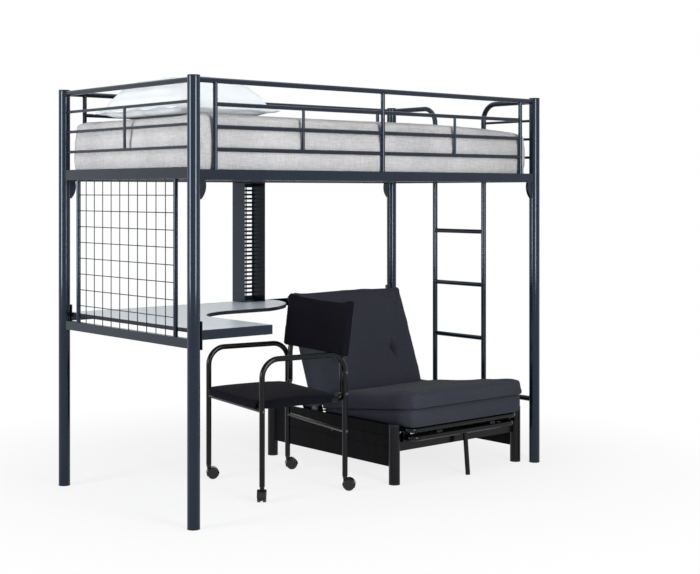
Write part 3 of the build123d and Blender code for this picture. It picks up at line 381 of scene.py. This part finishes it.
def fit(piece, node, axes=((1, 0, 0), (0, 1, 0), (0, 0, 1))):
    """Stretches the piece along these axes until it fills the space of its CAD solid."""
    rows = np.array(axes)
    solid = points(nodes[node]) @ rows.T
    soft = points(piece) @ rows.T
    low, high = solid.min(axis=0), solid.max(axis=0)
    first, last = soft.min(axis=0), soft.max(axis=0)
    put_points(piece, ((soft - first) / (last - first) * (high - low) + low) @ rows)


def refine(piece, centre, radius, cuts):
    """A finer mesh round one point, so that a small sewn fold shows."""
    shaper = bmesh.new()
    shaper.from_mesh(piece.data)
    middle = Vector(centre)
    near = [edge for edge in shaper.edges if all((v.co - middle).length < radius for v in edge.verts)]
    bmesh.ops.subdivide_edges(shaper, edges=near, cuts=cuts, use_grid_fill=True)
    shaper.to_mesh(piece.data)
    shaper.free()


def ramp(values, start, run):
    """Rises from 0 at the start to 1 at the end of the run."""
    return np.clip((values - start) / run, 0, 1)


def ripples(co, waves, seed):
    """A smooth field of folds, the same on each run; each wave is a length and a height."""
    directions, whole_turn, calming = 5, 6.28, 2.2
    draw = np.random.default_rng(seed)
    field = np.zeros(len(co))
    for length, height in waves:
        for _ in range(directions):
            direction = draw.normal(size=3)
            direction /= np.linalg.norm(direction)
            phase = draw.uniform(0, whole_turn)
            field += height * np.sin(co @ direction * (2 * math.pi / length) + phase) / calming
    return field


def ruffle(piece, co, waves, seed, share):
    """The points moved along the mesh's normals by a share of the ripples."""
    return co + normals(piece) * (ripples(co, waves, seed) * share)[:, None]


# Mattress: its top sinks towards the front right corner and its sides are the least even
mattress = remeshed_copy("mattress_cover", "mattress", voxel=0.013)
low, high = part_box("mattress")
held_height = 0.012
relax(mattress, rounds=5)
co = points(mattress)
inflate(mattress, pressure=1.0, cap=0.004, held=co[:, 2] < low.z + held_height)
fit(mattress, "mattress")
co = points(mattress)
side_band, even_share = 0.12, 0.35
inset = np.minimum(high.y - np.abs(co[:, 1]), high.x - np.abs(co[:, 0]))
side = np.clip(1.0 - inset / side_band, 0, 1)
sag_depth, sag_curve = 0.032, 1.6
sag_right = ramp(co[:, 0], start=0.25, run=0.7) ** sag_curve
sag_front = ramp(-co[:, 1], start=0.2, run=0.28)
co[:, 2] -= sag_depth * sag_right * sag_front * ramp(co[:, 2], low.z, high.z - low.z)
share = even_share + (1 - even_share) * side
co = ruffle(mattress, co, ((0.34, 0.0016), (0.13, 0.0010)), seed=3, share=share)
co[:, 2] = np.maximum(co[:, 2], low.z)
put_points(mattress, co)
finish_soft(mattress, "loft", "mattress_cloth", 0.9, "mattress")


# Pillow
def pillow_mesh(name, node, rows=72, columns=96, border=0.034):
    """Two sheets sewn together, with a stuffed middle and a flat wavy border."""
    low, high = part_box(node)
    middle = (low + high) / 2
    half_x, half_y = (high.x - low.x) / 2, (high.y - low.y) / 2
    grid_u, grid_v = np.meshgrid(np.linspace(-1, 1, rows), np.linspace(-1, 1, columns), indexing="ij")
    x, y = grid_u * half_x, grid_v * half_y

    inside_u = np.clip(np.abs(x) / (half_x - border), 0, 1)
    inside_v = np.clip(np.abs(y) / (half_y - border), 0, 1)
    stuffed = ((1 - inside_u**3) * (1 - inside_v**3.4)) ** 0.55

    # The stuffing draws in the middle of each side
    pull, pull_curve = 0.035, 6
    x = x * (1 - pull * (1 - np.abs(grid_v) ** 2) * np.abs(grid_u) ** pull_curve)
    y = y * (1 - pull * (1 - np.abs(grid_u) ** 2) * np.abs(grid_v) ** pull_curve)

    # The seam lies low along the rim, waves there and rises inside it
    seam_low, seam_rise, cloth_gap, headroom = 0.012, 0.024, 0.004, 0.03
    wave_height, radians_y, radians_x = 0.007, 31, 23
    rim = np.maximum(np.abs(grid_u), np.abs(grid_v))
    wavy = np.sin(y * radians_y + 1.0) * np.cos(x * radians_x + 0.4) * ramp(rim, start=0.8, run=0.2)
    raised = (1 - ramp(rim, start=0.86, run=0.14)) * ramp(rim, start=0.3, run=0.4)
    seam = seam_low + seam_rise * raised + wave_height * wavy
    top = seam + cloth_gap + (high.z - low.z - headroom) * stuffed
    bottom = np.maximum(seam * (1 - stuffed**0.5), 0.0)

    verts = []
    for layer in (top, bottom):
        verts += list(zip((x + middle.x).ravel(), (y + middle.y).ravel(), (layer + low.z).ravel()))
    count = rows * columns
    faces = []
    for i in range(rows - 1):
        for j in range(columns - 1):
            a, b = i * columns + j, (i + 1) * columns + j
            faces.append((a, b, b + 1, a + 1))
            faces.append((count + a, count + a + 1, count + b + 1, count + b))
    ring = [i * columns for i in range(rows)]
    ring += [(rows - 1) * columns + j for j in range(1, columns)]
    ring += [i * columns + columns - 1 for i in range(rows - 2, -1, -1)]
    ring += list(range(columns - 2, 0, -1))
    for a, b in zip(ring, ring[1:] + ring[:1]):
        faces.append((a, count + a, count + b, b))
    mesh = bpy.data.meshes.new(name)
    mesh.from_pydata(verts, [], faces)
    return link_piece(name, mesh), low, high


pillow, low, high = pillow_mesh("pillow_case", "pillow")
held_height, puffed_height = 0.004, 0.08
co = points(pillow)
inflate(pillow, pressure=1.2, cap=0.010, held=co[:, 2] < low.z + held_height, stiffness=6.0)
relax(pillow, rounds=3)
co = points(pillow)
share = ramp(co[:, 2], low.z, puffed_height)
co = ruffle(pillow, co, ((0.21, 0.0035), (0.075, 0.0014)), seed=8, share=share)
co[:, 2] = np.clip(co[:, 2], low.z, high.z)
put_points(pillow, co)
finish_soft(pillow, "loft", "pillow_cloth", 0.7, "pillow")

# Fold-out seat: the planes its pads lie on, with the sizes that the CAD gives them
futon_x = 0.536
soft_gap = 0.0003
across = np.array((1.0, 0, 0))

back_tilt = math.radians(69.3)
back_up = np.array((0, math.cos(back_tilt), math.sin(back_tilt)))
back_out = np.array((0, -math.sin(back_tilt), math.cos(back_tilt)))
back_frame_set, deck_radius = 0.0741, 0.0127
hinge = np.array((futon_x, 0.137, 0.262))
back_base = hinge - back_out * (back_frame_set - deck_radius - soft_gap)

seat_tilt = math.radians(6.9)
fold_out = np.array((0, math.sin(seat_tilt), math.cos(seat_tilt)))
fold_back = np.array((0, math.cos(seat_tilt), -math.sin(seat_tilt)))
fold_base = np.array((futon_x, -0.5286, 0.3410)) + fold_out * soft_gap
fold_length = 0.643

pad_voxel, pad_pressure, pad_fill = 0.009, 3.0, 0.8
pad_half, pad_corner = 0.361, 0.030
rear_push = 0.004
loose_depth = 0.05
# Points of a seat pad this close to the other one stay on the face between them
contact = 0.007


def over_back(co):
    """Height of each point over the back pad's rear face."""
    return (co - back_base) @ back_out


def over_fold(co):
    """Height of each point over the face between the two seat pads."""
    return (co - fold_base) @ fold_out


def off_middle(co):
    return np.abs(co[:, 0] - futon_x)


def square_rear(co, run):
    """Fills out a seat pad's rear corners; run is each point's place from the pad's rear end."""
    fullness, plate_gap = 0.85, 0.001
    bend = np.clip((run + pad_corner) / pad_corner, 0, 1)
    width = pad_half - pad_corner + pad_corner * np.sqrt(1 - bend**2)
    side = (co[:, 0] - futon_x) * (1 + fullness * (pad_half / width - 1))
    co[:, 0] = futon_x + np.clip(side, plate_gap - pad_half, pad_half - plate_gap)
    return co + np.outer(rear_push * bend**2, fold_back)


def star(co, centre, out, up):
    """A pinch sewn into the pad: a shallow bowl and four narrow folds that cross in it."""
    bowl_depth, bowl_radius = 0.009, 0.05
    knot_depth, knot_radius = 0.018, 0.017
    fold_depth, fold_width, fold_across, fold_along = 0.02, 0.008, 0.042, 0.056
    face_depth = 0.06
    offset = co - centre
    a, b = offset @ np.cross(up, out), offset @ up
    bowl = bowl_depth * np.exp(-((a / bowl_radius) ** 2) - (b / bowl_radius) ** 2)
    knot = knot_depth * np.exp(-((a / knot_radius) ** 2) - (b / knot_radius) ** 2)
    folds = fold_depth * np.maximum(
        np.exp(-((b / fold_width) ** 2)) * np.clip(1 - np.abs(a) / fold_across, 0, 1),
        np.exp(-((a / fold_width) ** 2)) * np.clip(1 - np.abs(b) / fold_along, 0, 1),
    )
    on_face = (offset @ out) > -face_depth
    return co - out * ((bowl + knot + folds) * on_face)[:, None]


# Back pad with two sewn tufts
tuft_x, tuft_up, tuft_out = 0.198, 0.262, 0.072
tufts = [back_base + back_up * tuft_up + across * x + back_out * tuft_out for x in (-tuft_x, tuft_x)]
held_depth = 0.004
back_pad = remeshed_copy("futon_back_cushion", "futon_back_pad", pad_voxel)
relax(back_pad, rounds=4)
inflate(back_pad, pad_pressure, cap=0.009, held=over_back(points(back_pad)) < held_depth)
fit(back_pad, "futon_back_pad", (across, back_up, back_out))
for centre in tufts:
    refine(back_pad, centre, radius=0.075, cuts=3)
co = points(back_pad)
share = ramp(over_back(co), 0, loose_depth)
co = ruffle(back_pad, co, ((0.23, 0.0016), (0.09, 0.0007)), seed=5, share=share)
for centre in tufts:
    co = star(co, centre, back_out, back_up)
put_points(back_pad, co)
finish_soft(back_pad, "futon_back", "futon_cloth", pad_fill, "futon_back_pad")

# Fold-out layer: its lower face stays flat inside its rounded rim
pad_rim = 0.016
fold_pad = remeshed_copy("futon_fold_cushion", "futon_foldout_pad", pad_voxel)
co = points(fold_pad)
run = (co - fold_base) @ fold_back
inner = (off_middle(co) < pad_half - pad_rim) & (run > pad_rim) & (run < fold_length - pad_rim)
relax(fold_pad, rounds=7, keep=(over_fold(co) < contact) & inner)
inflate(fold_pad, pad_pressure, cap=0.008, held=over_fold(points(fold_pad)) < contact)
fit(fold_pad, "futon_foldout_pad", (across, fold_back, fold_out))
co = points(fold_pad)
co = square_rear(co, (co - fold_base) @ fold_back - fold_length)
share = ramp(over_fold(co), 0, loose_depth)
co = ruffle(fold_pad, co, ((0.26, 0.0018), (0.1, 0.0008)), seed=6, share=share)
co += np.outer(np.maximum(-over_fold(co), 0), fold_out)
put_points(fold_pad, co)
finish_soft(fold_pad, "futon_foldout", "futon_cloth", pad_fill, "futon_foldout_pad")

# Lower layer: its top, its lower edges at the sides and its rear end keep the CAD's form
low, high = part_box("futon_seat_pad")
seat_pad = remeshed_copy("futon_seat_cushion", "futon_seat_pad", pad_voxel)
top_half, top_front = 0.348, 0.014
flank_half, flank_front, flank_height = 0.34, 0.06, 0.02
rear_band, held_height = 0.06, 0.004
co = points(seat_pad)
top = (over_fold(co) > -contact) & (off_middle(co) < top_half) & (co[:, 1] > low.y + top_front)
flank = (off_middle(co) > flank_half) & (co[:, 1] > low.y + flank_front)
flank &= co[:, 2] < low.z + flank_height
rear = co[:, 1] > high.y - rear_band
relax(seat_pad, rounds=12, keep=top | flank | rear)
co = points(seat_pad)
inflate(seat_pad, pad_pressure, cap=0.007, held=(co[:, 2] < low.z + held_height) | top)
fit(seat_pad, "futon_seat_pad")
co = points(seat_pad)
co = square_rear(co, co[:, 1] - high.y)
co -= np.outer(np.maximum(over_fold(co) + 2 * soft_gap, 0), fold_out)
co[:, 2] = np.maximum(co[:, 2], low.z)
put_points(seat_pad, co)
finish_soft(seat_pad, "futon_base", "futon_cloth", pad_fill, "futon_seat_pad")

# Chair: its place and its back tubes, as in the CAD
chair_turn = math.radians(-9.3)
chair_back = np.array((math.cos(chair_turn), math.sin(chair_turn), 0))
chair_side = np.array((-math.sin(chair_turn), math.cos(chair_turn), 0))
chair_mid = np.array((-0.264, -0.088, 0))
upright = np.array((0, 0, 1.0))
tube_back, tube_side = 0.205, 0.237
lean_start_z, lean = 0.560, math.radians(7.4)
chair_fill = 0.85

# Chair seat: the pad keeps the hollow under it for the board and the back tubes
hollow_top, hollow_half, hollow_front, facing_down = 0.034, 0.253, -0.221, -0.5
low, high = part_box("chair_seat_pad")
chair_seat = remeshed_copy("chair_seat_cushion", "chair_seat_pad", voxel=0.0045)
held_height = 0.004
co = points(chair_seat)
between = np.abs((co - chair_mid) @ chair_side) < hollow_half
under = (co[:, 2] < low.z + hollow_top) & (between | (normals(chair_seat)[:, 2] < facing_down))
under &= (co - chair_mid) @ chair_back > hollow_front
relax(chair_seat, rounds=45, keep=under)
co = points(chair_seat)
inflate(chair_seat, pad_pressure, cap=0.006, held=under | (co[:, 2] < low.z + held_height))
fit(chair_seat, "chair_seat_pad", (chair_back, chair_side, upright))
finish_soft(chair_seat, "chair", "chair_cloth", chair_fill, "chair_seat_pad")

# Chair back: the sleeve keeps its bores round the leaning tubes
sleeve_radius = 0.0142
chair_rest = remeshed_copy("chair_back_cushion", "chair_backrest", voxel=0.0022)
co = points(chair_rest) - chair_mid
tube_line = tube_back + (co[:, 2] - lean_start_z) * math.tan(lean)
sleeve = np.hypot(co @ chair_back - tube_line, np.abs(co @ chair_side) - tube_side) < sleeve_radius
relax(chair_rest, rounds=20, keep=sleeve)
finish_soft(chair_rest, "chair", "chair_cloth", chair_fill, "chair_backrest")

# Stage: pale floor, white surround, soft lamps and the camera
white = (1, 1, 1, 1)
ambient_strength = 0.24
floor_grey = (0.86, 0.86, 0.86, 1)
floor_half = 30.0


def seen(tree):
    """One for the camera, mirror and glass rays, zero for the light that falls on the object."""
    rays = tree.nodes.new("ShaderNodeLightPath")
    total = rays.outputs["Is Camera Ray"]
    for name in ("Is Glossy Ray", "Is Transmission Ray"):
        most = tree.nodes.new("ShaderNodeMath")
        most.operation = "MAXIMUM"
        tree.links.new(total, most.inputs[0])
        tree.links.new(rays.outputs[name], most.inputs[1])
        total = most.outputs["Value"]
    return total


def blended(tree, factor, first, second, output):
    """Mixes two shaders by the factor and shows the result."""
    blend = tree.nodes.new("ShaderNodeMixShader")
    tree.links.new(factor, blend.inputs["Fac"])
    tree.links.new(first.outputs[0], blend.inputs[1])
    tree.links.new(second.outputs[0], blend.inputs[2])
    tree.links.new(blend.outputs["Shader"], tree.nodes.new(output).inputs["Surface"])


world = bpy.data.worlds.new("studio")
scene.world = world
world.use_nodes = True
tree = world.node_tree
tree.nodes.clear()
ambient = tree.nodes.new("ShaderNodeBackground")
set_sockets(ambient, {"Color": white, "Strength": ambient_strength})
surround = tree.nodes.new("ShaderNodeBackground")
set_sockets(surround, {"Color": white, "Strength": 1.0})
blended(tree, seen(tree), ambient, surround, "ShaderNodeOutputWorld")

floor_mesh = bpy.data.meshes.new("floor")
floor_corners = [(x * floor_half, y * floor_half, 0) for x, y in ((-1, -1), (1, -1), (1, 1), (-1, 1))]
floor_mesh.from_pydata(floor_corners, [], [(0, 1, 2, 3)])
floor = link_piece("floor", floor_mesh)

# The floor keeps its shadow near the object and fades to white away from it
floor_paint = bpy.data.materials.new("floor_paint")
floor_paint.use_nodes = True
tree = floor_paint.node_tree
tree.nodes.clear()
matte = tree.nodes.new("ShaderNodeBsdfDiffuse")
set_sockets(matte, {"Color": floor_grey})
glow = tree.nodes.new("ShaderNodeEmission")
set_sockets(glow, {"Color": white, "Strength": 1.0})
place = tree.nodes.new("ShaderNodeTexCoord")
far = tree.nodes.new("ShaderNodeVectorMath")
far.operation = "LENGTH"
fade = tree.nodes.new("ShaderNodeMapRange")
fade.interpolation_type = "SMOOTHSTEP"
set_sockets(fade, {"From Min": 0.8, "From Max": 2.4, "To Min": 0.8, "To Max": 1.0})
glow_share = tree.nodes.new("ShaderNodeMath")
glow_share.operation = "MULTIPLY"
tree.links.new(place.outputs["Object"], far.inputs[0])
tree.links.new(far.outputs["Value"], fade.inputs["Value"])
tree.links.new(fade.outputs["Result"], glow_share.inputs[0])
tree.links.new(seen(tree), glow_share.inputs[1])
blended(tree, glow_share.outputs["Value"], matte, glow, "ShaderNodeOutputMaterial")
floor_mesh.materials.append(floor_paint)


def softbox(name, place, target, width, height, power):
    lamp = bpy.data.lights.new(name, "AREA")
    lamp.shape = "RECTANGLE"
    lamp.size = width
    lamp.size_y = height
    lamp.energy = power
    box = bpy.data.objects.new(name, lamp)
    box.location = place
    box.rotation_euler = (Vector(target) - Vector(place)).to_track_quat("-Z", "Y").to_euler()
    scene.collection.objects.link(box)


softbox("left", (-4.9, 0.2, 1.45), (-0.95, 0, 1.2), width=1.5, height=1.7, power=118.0)
softbox("right", (-0.55, -4.5, 1.45), (-0.5, -0.5, 1.2), width=1.5, height=1.7, power=112.0)
softbox("left_high", (-4.6, 0.1, 3.4), (-0.7, 0, 0.8), width=1.6, height=1.2, power=38.0)
softbox("right_high", (-0.5, -4.6, 3.4), (-0.5, -0.3, 0.8), width=1.6, height=1.2, power=38.0)
softbox("top", (0.2, -0.6, 4.6), (0, 0, 1.0), width=3.0, height=2.4, power=36.0)

# The camera was fitted to the posts and rails in the photo
camera_yaw = math.radians(-40.67)
lens = bpy.data.cameras.new("camera")
lens.sensor_width = 36.0
lens.lens = 68.51
lens.shift_y = -0.1353
lens.clip_end = 100.0
camera = bpy.data.objects.new("camera", lens)
camera.location = (-3.9012, -4.8329, 1.3079)
camera.rotation_euler = (math.radians(90), 0, camera_yaw)
scene.collection.objects.link(camera)
scene.camera = camera
scene.view_settings.view_transform = "Standard"
